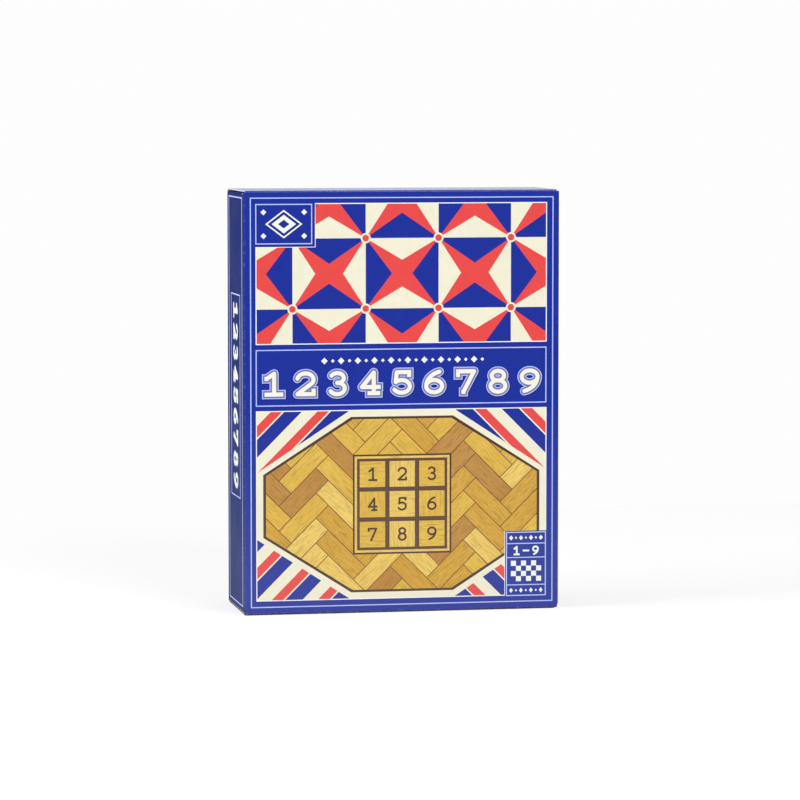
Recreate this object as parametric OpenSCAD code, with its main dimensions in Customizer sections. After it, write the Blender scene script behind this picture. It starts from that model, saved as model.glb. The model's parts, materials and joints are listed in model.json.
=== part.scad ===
// Shut the box game, boxed: a printed tuck-end carton with the wooden game standing inside it.
// Both closures fold from the back panel, and their tucks go in behind the front panel. The
// wooden tray stands on one short end, with its floor against the back panel and its open face
// towards the front panel.
// Origin: centre of the bottom. X runs across the front, the front faces -Y, +Z is up.

/* [Carton] */
// Width across the front
carton_w = 163; // [140:1:200]
// Depth, front to back
carton_d = 57; // [54:1:80]
// Height as it stands
carton_h = 215; // [190:1:260]
// Thickness of the board
board_t = 0.8; // [0.5:0.05:1]
// Inside radius of the upright folds
fold_inner_r = 0.3; // [0.1:0.1:1]
// Width of the glue flap inside the right panel
glue_flap_w = 14; // [8:1:24]
// How much shorter the glue flap gets over its width, at each end
glue_flap_taper = 4; // [1:1:8]

/* [Closures] */
// Gap between a closure's side edge and the carton's side
closure_side_gap = 0.5; // [0.2:0.1:1.5]
// Length of the tuck that goes in behind the far panel
tuck_len = 14; // [10:0.5:15]
// Lean of the tuck, inwards from upright, in degrees
tuck_lean = 9; // [9:0.5:12]
// Clearance between the tuck and the panel it goes behind
tuck_gap = 0.5; // [0.4:0.1:1]
// Clearance left open along the crease of the tuck
crease_gap = 0.1; // [0.05:0.05:0.3]
// How far the tuck's ends stand in from the closure's side edges
tuck_side_inset = 2.5; // [1:0.5:6]
// Radius of the tuck's two free corners
tuck_corner_r = 8; // [4:1:10]

/* [Dust flaps] */
// Length of a dust flap, inwards from its side panel
dust_len = 34; // [20:1:50]
// Gap between a dust flap and the closure over it
dust_gap = 0.3; // [0.2:0.1:0.6]
// Clearance at the end of the fold beside the closure's own fold
dust_fold_gap = 1.2; // [0.8:0.1:3]
// Clearance between a dust flap and the tuck
dust_tuck_gap = 1; // [0.6:0.1:3]
// How much the edge beside the closure's fold draws in, for each millimetre of length
dust_taper = 0.66; // [0.64:0.01:0.8]
// Size of the cut-off corner beside the tuck
dust_corner = 6; // [2:1:12]

/* [Tray] */
// Gap on each side between the tray and the carton
tray_side_gap = 1.7; // [1.2:0.1:3]
// Gap between the tray's floor and the back panel
tray_back_gap = 0.2; // [0.1:0.1:0.5]
// Room between the tray's open face and the front panel
tray_front_gap = 5.2; // [4.5:0.1:10]
// Gap between the tray and the dust flaps that it stands on
tray_seat_gap = 0.3; // [0.1:0.1:0.5]
// Gap between the tray and the upper dust flaps
tray_top_gap = 2.9; // [0.5:0.1:6]
// Thickness of the four outer rails
rail_t = 9; // [7:0.5:12]
// Thickness of the plywood floor
floor_t = 3; // [2:0.5:4]
// Width of the rabbet that the floor sits in
rabbet_w = 4; // [2:0.5:6]
// Clearance around the floor's edge
floor_fit = 0.2; // [0.1:0.05:0.4]

/* [Tile bay] */
// Distance from the middle of the centre rail to a rod
rod_to_centre = 22.5; // [21:0.5:26]
// Height of the rods above the tray's floor
rod_height = 5; // [4.5:0.1:6]
// Diameter of the steel rods
rod_dia = 3; // [2:0.2:4]
// Depth to which the rods are driven into the side rails
rod_seat = 5; // [3:0.5:6]
// Width of the centre rail and of the two rest rails
rest_rail_w = 7; // [5:0.5:9]
// Height of the centre rail and of the two rest rails
rest_rail_h = 18; // [15:0.5:20]
// Radius of the eased top edges of these rails
rest_rail_ease = 0.8; // [0.3:0.1:1.5]

/* [Tiles] */
// Thickness of a tile
tile_t = 6.5; // [5:0.5:7]
// Gap between neighbouring tiles, and beside the outermost ones
tile_gap = 0.5; // [0.3:0.1:1]
// Gap between a resting tile and the rail's edge under it
tile_rest_gap = 0.3; // [0.2:0.1:0.6]
// Gap left between two opposite tiles that both lean inwards
tile_meet_gap = 1.2; // [0.6:0.1:3]
// Radius of a tile's eased corners at its free end
tile_ease = 1; // [0.4:0.1:2]
// Clearance all round between a rod and the tiles' bores
rod_clear = 0.08; // [0.04:0.01:0.1]

/* [Dice] */
// Edge of a die
die_size = 16; // [12:1:18]
// Diameter of the ball that rounds a die's corners, per millimetre of its edge
die_round = 1.42; // [1.35:0.01:1.6]
// Distance between the two dice, centre to centre
dice_spacing = 44; // [24:1:70]
// Gap between a die and the wood it lies on
die_gap = 0.3; // [0.1:0.1:0.5]
// Radius across a pip's dimple
pip_r = 1.3; // [0.8:0.1:1.6]
// Depth of a pip's dimple
pip_depth = 0.5; // [0.3:0.1:0.8]
// Distance between pips
pip_pitch = 4; // [3:0.1:4.6]

/* [Leaflet] */
// Width of the folded rules leaflet
leaflet_w = 105; // [80:1:130]
// Height of the folded rules leaflet
leaflet_h = 148; // [100:1:180]
// Thickness of the folded rules leaflet
leaflet_t = 0.5; // [0.3:0.1:1]
// Gap between the leaflet and the tray
leaflet_gap = 0.3; // [0.1:0.1:0.5]

/* [Hidden] */
tile_count = 9;
BANKS = ["upper", "lower"];

// Colours, as the photograph shows them
print_blue = [0.11, 0.2, 0.62];
board_white = [0.93, 0.92, 0.9];
rail_wood = [0.86, 0.69, 0.33];
ply_wood = [0.8, 0.66, 0.36];
tile_wood = [0.9, 0.76, 0.38];
die_wood = [0.93, 0.87, 0.74];
steel = [0.7, 0.7, 0.72];
paper = [0.95, 0.95, 0.93];

// Smoothness of round things
round_fn = 48;
// Overshoot of cutting bodies
cut = 1;
// The sides of the object
LEFT = -1;
RIGHT = 1;

// Carton
fold_r = fold_inner_r + board_t;
side_end = 2 * board_t + dust_gap;
side_h = carton_h - 2 * side_end;
tuck_hinge_y = -carton_d / 2 + board_t + tuck_gap + board_t;
closure_front_y = tuck_hinge_y + board_t * tan(tuck_lean) + crease_gap;
closure_w = carton_w - 2 * closure_side_gap;
tuck_w = closure_w - 2 * tuck_side_inset;
tuck_reach = tuck_len * sin(tuck_lean);
dust_near = board_t + dust_fold_gap;
dust_far = carton_d - 2 * board_t - tuck_gap - tuck_reach - dust_tuck_gap;

// Tray: in its own frame it lies on its floor, with its length along Y
tray_w = carton_w - 2 * board_t - 2 * tray_side_gap;
tray_d = carton_d - 2 * board_t - tray_back_gap - tray_front_gap;
tray_z = side_end + tray_seat_gap;
tray_len = carton_h - tray_z - side_end - tray_top_gap;
tray_back_y = carton_d / 2 - board_t - tray_back_gap;
bay_w = tray_w - 2 * rail_t;
floor_w = bay_w + 2 * (rabbet_w - floor_fit);
floor_len = tray_len - 2 * (rail_t - rabbet_w + floor_fit);
rabbet_len = tray_len - 2 * (rail_t - rabbet_w);

// Tiles
rod_z = floor_t + rod_height;
rod_to_rail = rod_to_centre - rest_rail_w / 2;
rail_edge_rise = rest_rail_h - rod_height;
rail_edge_dist = sqrt(pow(rod_to_rail, 2) + pow(rail_edge_rise, 2));
tile_rise = atan2(rail_edge_rise, rod_to_rail)
    + asin((tile_t / 2 + tile_rest_gap) / rail_edge_dist);
tile_reach = (rod_to_centre - tile_meet_gap / 2 - tile_t / 2 * sin(tile_rise)) / cos(tile_rise);
tile_w = (bay_w - (tile_count + 1) * tile_gap) / tile_count;
tile_pitch = tile_w + tile_gap;

// ---- helpers ----

// Turns a part of the top end into the same part of the bottom end
module at_bottom() {
    translate([0, 0, carton_h]) mirror([0, 0, 1]) children();
}

// Places the tray's own frame in the carton
module in_tray() {
    translate([0, tray_back_y, tray_z]) rotate([90, 0, 0]) children();
}

// A rectangle with round corners, centred
module round_rect(w, d, r) {
    square([w - 2 * r, d], center = true);
    square([w, d - 2 * r], center = true);
    for (sx = [-1, 1], sy = [-1, 1])
        translate([sx * (w / 2 - r), sy * (d / 2 - r)]) circle(r = r, $fn = round_fn);
}

// Outline of the carton's walls, seen from above
module wall_ring() {
    difference() {
        round_rect(carton_w, carton_d, fold_r);
        round_rect(carton_w - 2 * board_t, carton_d - 2 * board_t, fold_inner_r);
    }
}

// A block along X whose section has its two upper corners eased
module eased_bar(length, w, h, r) {
    rotate([90, 0, 90]) linear_extrude(length, center = true) {
        translate([-w / 2, 0]) square([w, h - r]);
        translate([-w / 2 + r, 0]) square([w - 2 * r, h]);
        for (side = [-1, 1])
            translate([side * (w / 2 - r), h - r]) circle(r = r, $fn = round_fn);
    }
}

// ---- carton ----

module front_panel() {
    color(print_blue)
    linear_extrude(carton_h) intersection() {
        wall_ring();
        translate([-carton_w / 2, -carton_d / 2]) square([carton_w, fold_r]);
    }
}

module back_panel() {
    color(print_blue)
    translate([0, 0, board_t]) linear_extrude(carton_h - 2 * board_t) {
        intersection() {
            wall_ring();
            translate([-carton_w / 2, carton_d / 2 - fold_r]) square([carton_w / 2, fold_r]);
        }
        translate([0, carton_d / 2 - board_t]) square([carton_w / 2 - board_t, board_t]);
    }
}

module left_panel() {
    color(print_blue)
    translate([-carton_w / 2, -carton_d / 2 + fold_r, side_end])
        cube([board_t, carton_d - 2 * fold_r, side_h]);
}

module right_panel() {
    color(print_blue)
    translate([carton_w / 2 - board_t, -carton_d / 2 + fold_r, side_end])
        cube([board_t, carton_d - fold_r, side_h]);
}

// Folded in from the back panel and glued to the inside of the right panel
module glue_flap() {
    fold_y = carton_d / 2 - board_t;
    color(board_white)
    translate([carton_w / 2 - 2 * board_t, 0, 0]) rotate([90, 0, 90]) linear_extrude(board_t)
        polygon([
            [fold_y, side_end],
            [fold_y, carton_h - side_end],
            [fold_y - glue_flap_w, carton_h - side_end - glue_flap_taper],
            [fold_y - glue_flap_w, side_end + glue_flap_taper]
        ]);
}

// The flat closure, folded from the back panel
module closure() {
    color(print_blue)
    translate([-closure_w / 2, closure_front_y, carton_h - board_t])
        cube([closure_w, carton_d / 2 - closure_front_y, board_t]);
}

// The tuck, folded down from the closure's free edge
module tuck() {
    color(print_blue)
    translate([0, tuck_hinge_y, carton_h]) rotate([90 + tuck_lean, 0, 0])
        linear_extrude(board_t) intersection() {
            translate([-tuck_w / 2, -tuck_len]) square([tuck_w, tuck_len]);
            round_rect(tuck_w, 2 * tuck_len, tuck_corner_r);
        }
}

// A dust flap, folded in from a side panel and lying under the closure
module dust_flap(side) {
    outline = [
        [0, dust_near],
        [0, dust_far],
        [dust_len - dust_corner, dust_far],
        [dust_len, dust_far - dust_corner],
        [dust_len, dust_near + dust_taper * dust_len]
    ];
    color(print_blue)
    translate([side * carton_w / 2, carton_d / 2, carton_h - side_end])
        linear_extrude(board_t) polygon([for (p = outline) [-side * p.x, -p.y]]);
}

// ---- tray ----

module tray_floor() {
    color(ply_wood)
    in_tray() translate([-floor_w / 2, (tray_len - floor_len) / 2, 0])
        cube([floor_w, floor_len, floor_t]);
}

// A long rail, with the rabbet for the floor and the blind holes for the rods
module side_rail(side) {
    inner_x = tray_w / 2 - rail_t;
    color(rail_wood)
    in_tray() rotate([0, side == LEFT ? 180 : 0, 0])
        translate([0, 0, side == LEFT ? -tray_d : 0]) difference() {
            translate([inner_x, 0, 0]) cube([rail_t, tray_len, tray_d]);
            translate([inner_x - cut, (tray_len - rabbet_len) / 2, side == LEFT ? tray_d - floor_t : -cut])
                cube([rabbet_w + cut, rabbet_len, floor_t + cut]);
            for (bank = [-1, 1])
                translate([inner_x - cut, tray_len / 2 + bank * rod_to_centre,
                           side == LEFT ? tray_d - rod_z : rod_z])
                    rotate([0, 90, 0]) cylinder(h = rod_seat + cut, d = rod_dia, $fn = round_fn);
        }
}

// A short rail between the long ones; the one at the bottom is turned end for end
module end_rail() {
    difference() {
        translate([-bay_w / 2, 0, 0]) cube([bay_w, rail_t, tray_d]);
        translate([-bay_w / 2 - cut, rail_t - rabbet_w, -cut])
            cube([bay_w + 2 * cut, rabbet_w + cut, floor_t + cut]);
    }
}

module tray_rail_bottom() {
    color(rail_wood) in_tray() end_rail();
}

module tray_rail_top() {
    color(rail_wood) in_tray() translate([0, tray_len, 0]) mirror([0, 1, 0]) end_rail();
}

// A strip across the tray that tiles lean on
module rest_rail(from_centre) {
    color(rail_wood)
    in_tray() translate([0, tray_len / 2 + from_centre, floor_t])
        eased_bar(bay_w, rest_rail_w, rest_rail_h, rest_rail_ease);
}

// ---- rods and tiles ----

module rod(bank) {
    color(steel)
    in_tray() translate([0, tray_len / 2 + bank * rod_to_centre, rod_z]) rotate([0, 90, 0])
        cylinder(h = bay_w + 2 * rod_seat, d = rod_dia, center = true, $fn = round_fn);
}

// Section of a tile, along its length: round at the rod, eased at the free end
module tile_section() {
    difference() {
        union() {
            circle(d = tile_t, $fn = round_fn);
            translate([0, -tile_t / 2]) square([tile_reach - tile_ease, tile_t]);
            translate([0, -tile_t / 2 + tile_ease]) square([tile_reach, tile_t - 2 * tile_ease]);
            for (side = [-1, 1])
                translate([tile_reach - tile_ease, side * (tile_t / 2 - tile_ease)])
                    circle(r = tile_ease, $fn = round_fn);
        }
        circle(r = rod_dia / 2 + rod_clear, $fn = round_fn);
    }
}

// Tile number n, counted from the left, leaning down the carton over the rail below its rod
module tile(bank, n) {
    x = (n - (tile_count + 1) / 2) * tile_pitch;
    color(tile_wood)
    in_tray() translate([x, tray_len / 2 + bank * rod_to_centre, rod_z])
        rotate([180 - tile_rise, 0, 0]) rotate([90, 0, 90])
            linear_extrude(tile_w, center = true) tile_section();
}

// ---- dice ----

// Where the pips of face n go, in steps of the pip pitch
function pip_spots(n) = concat(
    n % 2 == 1 ? [[0, 0]] : [],
    n > 1 ? [[-1, -1], [1, 1]] : [],
    n > 3 ? [[-1, 1], [1, -1]] : [],
    n == 6 ? [[-1, 0], [1, 0]] : []
);

// How the die is turned to bring each face up, from 1 to 6; opposite faces add up to seven
FACE_TURNS = [[0, 0, 0], [90, 0, 0], [0, 90, 0], [0, -90, 0], [-90, 0, 0], [180, 0, 0]];

// The ball that leaves a dimple of the wanted width and depth
pip_ball_r = (pow(pip_r, 2) + pow(pip_depth, 2)) / (2 * pip_depth);

module die_shape() {
    difference() {
        intersection() {
            cube(die_size, center = true);
            sphere(d = die_size * die_round, $fn = round_fn);
        }
        for (n = [1 : 6])
            rotate(FACE_TURNS[n - 1])
                for (spot = pip_spots(n))
                    translate([spot.x * pip_pitch, spot.y * pip_pitch,
                               die_size / 2 + pip_ball_r - pip_depth])
                        sphere(r = pip_ball_r, $fn = round_fn);
    }
}

// The dice lie in the lower rolling bay, on the bottom rail and against the floor
module die(side) {
    color(die_wood)
    in_tray() translate([side * dice_spacing / 2, rail_t + die_size / 2 + die_gap,
                         floor_t + die_size / 2 + die_gap])
        rotate([0, 90 * (1 + side), 0]) die_shape();
}

// ---- leaflet ----

// The folded rules, between the tray and the front panel, standing on the lower dust flaps
module leaflet() {
    color(paper)
    in_tray() translate([-leaflet_w / 2, 0, tray_d + leaflet_gap])
        cube([leaflet_w, leaflet_h, leaflet_t]);
}

// ---- the object ----

front_panel();
back_panel();
left_panel();
right_panel();
glue_flap();

closure();  // top_closure
tuck();  // top_tuck
dust_flap(LEFT);  // top_dust_flap_left
dust_flap(RIGHT);  // top_dust_flap_right

at_bottom() closure();  // bottom_closure
at_bottom() tuck();  // bottom_tuck
at_bottom() dust_flap(LEFT);  // bottom_dust_flap_left
at_bottom() dust_flap(RIGHT);  // bottom_dust_flap_right

tray_floor();
side_rail(LEFT);  // tray_rail_left
side_rail(RIGHT);  // tray_rail_right
tray_rail_top();
tray_rail_bottom();

rest_rail(0);  // centre_rail
rest_rail(2 * rod_to_centre);  // upper_rest_rail
rest_rail(-2 * rod_to_centre);  // lower_rest_rail
rod(1);  // upper_rod
rod(-1);  // lower_rod

for (n = [1 : tile_count]) {
    tile(1, n);
    tile(-1, n);
}

die(LEFT);  // die_left
die(RIGHT);  // die_right
leaflet();
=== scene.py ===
import functools
import json
import math
import random

import bpy
from mathutils import Matrix, Vector
from mathutils.geometry import delaunay_2d_cdt


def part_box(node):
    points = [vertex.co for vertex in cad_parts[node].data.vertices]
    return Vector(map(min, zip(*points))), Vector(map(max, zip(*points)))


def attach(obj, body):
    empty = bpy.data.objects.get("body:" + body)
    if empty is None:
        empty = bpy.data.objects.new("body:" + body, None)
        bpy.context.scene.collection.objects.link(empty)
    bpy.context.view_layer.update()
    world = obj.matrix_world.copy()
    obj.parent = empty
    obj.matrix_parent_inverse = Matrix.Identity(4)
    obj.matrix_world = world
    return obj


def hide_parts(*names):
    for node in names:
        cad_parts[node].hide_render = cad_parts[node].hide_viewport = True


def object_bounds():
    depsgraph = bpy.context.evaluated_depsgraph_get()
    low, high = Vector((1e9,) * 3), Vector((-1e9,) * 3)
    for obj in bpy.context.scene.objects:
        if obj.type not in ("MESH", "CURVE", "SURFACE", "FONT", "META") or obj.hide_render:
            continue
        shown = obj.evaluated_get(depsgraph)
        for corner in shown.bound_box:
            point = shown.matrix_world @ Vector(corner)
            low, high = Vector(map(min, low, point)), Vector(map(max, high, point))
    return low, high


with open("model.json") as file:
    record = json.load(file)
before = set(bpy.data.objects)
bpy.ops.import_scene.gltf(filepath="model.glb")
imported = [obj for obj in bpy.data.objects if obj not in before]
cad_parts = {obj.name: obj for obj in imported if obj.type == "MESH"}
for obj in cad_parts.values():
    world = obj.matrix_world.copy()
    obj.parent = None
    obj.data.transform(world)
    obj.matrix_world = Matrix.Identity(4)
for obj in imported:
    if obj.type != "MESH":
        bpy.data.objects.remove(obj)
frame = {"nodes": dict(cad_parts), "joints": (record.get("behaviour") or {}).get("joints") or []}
cad_lo, cad_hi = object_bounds()
NODES = frame["nodes"]
MM = 0.001


def in_mm(point):
    """A point or a size of the frame, in mm."""
    return tuple(round(c / MM, 3) for c in point)


# ---- sizes of the carton, in mm ----

PIVOTS = {joint["name"]: in_mm(joint["pos_m"]) for joint in frame["joints"] if "pos_m" in joint}
CARTON_W, CARTON_D, CARTON_H = in_mm(high - low for low, high in zip(cad_lo, cad_hi))
HALF_W, HALF_D = CARTON_W / 2, CARTON_D / 2
BOARD_T = 0.8                      # thickness in the CAD, which sets where faces and folds are
SHEET_T = 0.5                      # thickness of the board as it looks
FOLD_R = 1.1                       # outer radius of the upright folds
LEFT_W, RIGHT_W = CARTON_D - 2 * FOLD_R, CARTON_D - FOLD_R   # of the side panels between folds
SIDE_END = 1.9                     # how far the side panels stop short of each end
GLUE_FLAP_W, GLUE_FLAP_TAPER = 14.0, 4.0
CLOSURE_GAP = 0.5                  # between a closure and the carton's sides
CLOSURE_W = CARTON_W - 2 * CLOSURE_GAP
TUCK_HINGE_Y = PIVOTS["top_tuck_crease"][1]
TUCK_LEN, TUCK_LEAN, TUCK_INSET, TUCK_CORNER_R = 14.0, 9.0, 2.5, 8.0
TUCK_SHOULDER = 0.6                # at its fold the tuck is this much narrower than the closure
TUCK_GAP, DUST_TUCK_GAP = 0.5, 1.0  # from the front panel to the tuck, and on to the dust flaps
DUST_LEN, DUST_NEAR, DUST_TAPER, DUST_CORNER = 34.0, 2.0, 0.66, 6.0
DUST_PRINT_W = 6.0                 # how far the side's print runs on over a dust flap
FRONT_TOP = 0.7                    # the front's raw edge stops short of the top closure's face
FOLD_EDGE = 0.5                    # width of the painted shade, a dark strip along the front's print on each fold
FOOT_EDGE, FOOT_HIGHLIGHT_TOP = 0.8, 1.35  # tops of the painted contact shadow along the front's foot and of the painted highlight line above it

# ---- colours, sRGB ----

COLOURS = {
    "blue": (14, 42, 154),
    "lid_blue": (14, 42, 154),
    "side_blue": (24, 40, 107),
    # navy of the title's printed shadow, also painted along the front's folds as painted shade
    "navy_print_and_fold_shade": (10, 22, 84),
    # painted contact shadow along the front's foot
    "foot": (10, 18, 62),
    "line": (186, 200, 255),
    "title": (249, 245, 228),
    "letter": (246, 250, 236),
    "letter_edge": (112, 116, 178),
    "white": (250, 249, 246),
    "cream": (243, 239, 214),
    "coral": (234, 74, 72),
    "inlay": (78, 50, 40),
    "joint": (122, 78, 50),
    "square_dark": (96, 66, 52),
    "parquet_0": (231, 192, 84),
    "parquet_1": (217, 171, 72),
    "parquet_2": (196, 146, 74),
    "parquet_3": (242, 209, 112),
}
# The inks whose varnish differs from the rest
VARNISHES = {
    "side_blue": {"rough": 0.52, "coat": 0.0, "specular": 0.012},
    "lid_blue": {"rough": 0.36, "coat": 0.6, "specular": 0.1},
}
# Unprinted board: its tone, and whether the layers of a cut edge show
BOARDS = {
    "bare_board": ((234, 233, 231), False),
    "cut_edge": ((216, 218, 240), True),
    # a cut edge painted dark navy as painted shade, where the carton's foot meets the floor
    "painted_shade_edge": ((56, 61, 108), True),
}
INK_SPREAD = 0.03                           # how much an ink's tone varies
# pale tone of real wear and of painted highlights
WORN_AND_HIGHLIGHT_TONE = (208, 215, 252)
FLOOR_SHEEN_TONE, FLOOR_SHEEN = (224, 226, 224), 0.05   # painted reflection of the white floor: the print is mixed pale towards the foot
FLOOR_SHEEN_LOW, FLOOR_SHEEN_HIGH = 0.02, 0.11          # it fades between these heights, in m
RAIL, PLY, TILE, DIE = (222, 182, 92), (214, 178, 106), (230, 196, 116), (238, 222, 190)
PAPER_DARK, PAPER_LIGHT = (232, 231, 226), (246, 245, 241)


def linear(rgb):
    out = []
    for c in rgb:
        c /= 255.0
        out.append(c / 12.92 if c <= 0.04045 else ((c + 0.055) / 1.055) ** 2.4)
    return (*out, 1.0)


def shade(colour, *by, add=0.0):
    """A colour made darker or lighter by one factor, or by one for each channel."""
    return (*(min(1.0, c * k + add) for c, k in zip(colour[:3], by * 3)), 1.0)


# ---- shader nodes ----

class Graph:
    """The shader nodes of a material or of the world."""

    def __init__(self, owner):
        owner.use_nodes = True
        self.tree = owner.node_tree
        self.tree.nodes.clear()

    def feed(self, target, values):
        """Give a node's inputs their values, or link them to other nodes' outputs."""
        for key, value in values.items():
            if isinstance(value, bpy.types.NodeSocket):
                self.tree.links.new(value, target.inputs[key])
            else:
                target.inputs[key].default_value = value

    def node(self, kind, values, **props):
        new = self.tree.nodes.new("ShaderNode" + kind)
        for key, value in props.items():
            setattr(new, key, value)
        self.feed(new, values)
        return new

    def coords(self, kind="Object", scale=(1, 1, 1)):
        source = self.node("TexCoord", {}).outputs[kind]
        return self.node("Mapping", {"Vector": source, "Scale": scale}).outputs[0]

    def noise(self, vector, scale, detail=3.0, rough=0.5, distortion=0.0):
        values = {"Vector": vector, "Scale": scale, "Detail": detail, "Roughness": rough,
                  "Distortion": distortion}
        return self.node("TexNoise", values).outputs[0]

    def ramp(self, fac, stops):
        new = self.node("ValToRGB", {"Fac": fac})
        elements = new.color_ramp.elements
        while len(elements) < len(stops):
            elements.new(0.5)
        for element, (position, colour) in zip(elements, stops):
            element.position = position
            element.color = colour
        return new.outputs[0]

    def remap(self, value, low, high, to_low, to_high):
        values = {"Value": value, "From Min": low, "From Max": high, "To Min": to_low,
                  "To Max": to_high}
        return self.node("MapRange", values).outputs[0]

    def math(self, operation, a, b):
        return self.node("Math", {0: a, 1: b}, operation=operation).outputs[0]

    def mix(self, fac, a, b):
        return self.node("Mix", {0: fac, 6: a, 7: b}, data_type="RGBA").outputs[2]

    def bump(self, height, distance, strength, **under):
        values = {"Height": height, "Distance": distance, "Strength": strength, **under}
        return self.node("Bump", values).outputs[0]

    def seen_by(self, *rays):
        """1 for these kinds of rays and 0 for the rest."""
        path = self.node("LightPath", {})
        seen = path.outputs[rays[0]]
        for ray in rays[1:]:
            seen = self.math("MAXIMUM", seen, path.outputs[ray])
        return seen


class Material(Graph):
    """A material with one shader, which finished() gives its values."""

    def __init__(self, name):
        self.data = bpy.data.materials.new(name)
        super().__init__(self.data)
        self.shader = self.node("BsdfPrincipled", {})
        self.node("OutputMaterial", {"Surface": self.shader.outputs[0]})

    def finished(self, values):
        self.feed(self.shader, values)
        return self.data


# ---- materials ----

def ink(key, rough=0.36, coat=0.25, specular=0.05):
    """Offset print under a satin varnish on white board, worn white where the fold is sharpest and
    paled as a painted highlight on some folds, with a painted reflection of the floor towards the
    foot.
    """
    made = Material("ink_" + key)
    base = linear(COLOURS[key])
    here = made.coords()
    mottle = made.noise(here, 140.0, 4.0, 0.6)
    cloud = made.noise(here, 9.0, 2.0)
    colour = made.mix(made.remap(mottle, 0.3, 0.7, 0, 1), shade(base, 1 - INK_SPREAD),
                      shade(base, 1 + INK_SPREAD, add=0.002))
    colour = made.mix(made.remap(cloud, 0.3, 0.7, 0, 0.5), colour,
                      shade(base, 1 - 1.5 * INK_SPREAD))
    # Painted reflection: the print is mixed paler towards the foot, standing in for the white floor's
    # reflection
    height = made.node("SeparateXYZ", {"Vector": here}).outputs["Z"]
    painted_floor_sheen = made.remap(height, FLOOR_SHEEN_LOW, FLOOR_SHEEN_HIGH, FLOOR_SHEEN, 0.0)
    colour = made.mix(painted_floor_sheen, colour, linear(FLOOR_SHEEN_TONE))
    # This attribute pales the print with real wear on the folds and with painted highlights on the
    # closures' folds and above the front's foot
    wear_and_highlight = made.node("Attribute", {}, attribute_name="wear_and_highlight").outputs["Fac"]
    scuff = made.noise(here, 700.0, 5.0, 0.7)
    worn_and_lit = made.math("MULTIPLY", wear_and_highlight, made.remap(scuff, 0.52, 0.72, 0, 0.55))
    smear = made.noise(here, 45.0, 3.0, 0.55)
    fibre = made.noise(here, 1500.0, 2.0)
    swell = made.bump(made.noise(here, 22.0, 2.0), 0.00035, 0.6)
    return made.finished({
        "Base Color": made.mix(worn_and_lit, colour, linear(WORN_AND_HIGHLIGHT_TONE)),
        "Roughness": made.remap(smear, 0.3, 0.7, rough - 0.05, rough + 0.07),
        "Specular IOR Level": specular,
        "Normal": made.bump(fibre, 0.00001, 0.35, Normal=swell),
        "Coat Weight": coat,
        "Coat Roughness": 0.13,
    })


def print_wood(key):
    """Wood tone of the printed parquet, its grain along the plank through the print's own UV."""
    made = Material("ink_" + key)
    base = linear(COLOURS[key])
    dark, light = shade(base, 0.62), shade(base, 1.12)
    grain = made.noise(made.coords("UV", (0.16, 1.6, 1)), 1.0, 6.0, 0.62, 0.8)
    fine = made.noise(made.coords("UV", (0.5, 9.0, 1)), 1.0)
    patch = made.noise(made.coords("UV", (0.035, 0.05, 1)), 1.0, 1.0)
    colour = made.ramp(grain, [(0.34, dark), (0.5, base), (0.68, light)])
    colour = made.mix(made.remap(fine, 0.42, 0.6, 0.22, 0), colour, dark)
    colour = made.mix(made.remap(patch, 0.35, 0.65, 0.0, 0.3), colour,
                      shade(base, 0.8, 0.66, 0.5))
    return made.finished({
        "Base Color": colour,
        "Roughness": 0.38,
        "Specular IOR Level": 0.1,
        "Normal": made.bump(made.noise(made.coords(), 22.0, 2.0), 0.00035, 0.6),
        "Coat Weight": 0.35,
        "Coat Roughness": 0.22,
    })


def board(key):
    """Bare board: the inside face, or the cut edge with its thin layers."""
    tone, layered = BOARDS[key]
    made = Material(key)
    base = linear(tone)
    here = made.coords()
    speck = made.noise(here, 700.0, 5.0, 0.65)
    cloud = made.noise(here, 30.0)
    felt = made.noise(here, 1100.0, 3.0, 0.6)
    colour = made.mix(made.remap(speck, 0.35, 0.65, 0, 1),
                      shade(base, 0.82 if layered else 0.93), base)
    return made.finished({
        "Base Color": made.mix(made.remap(cloud, 0.3, 0.7, 0, 0.4), colour,
                               shade(base, 0.95, 0.93, 0.9)),
        "Roughness": 0.85,
        "Specular IOR Level": 0.25,
        "Normal": made.bump(felt, 0.00006 if layered else 0.00002, 0.6),
    })


@functools.cache
def finish(key):
    """The material of an ink, a printed wood tone or a bare board, made once."""
    if key in BOARDS:
        return board(key)
    if key.startswith("parquet"):
        return print_wood(key)
    return ink(key, **VARNISHES.get(key, {}))


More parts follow.
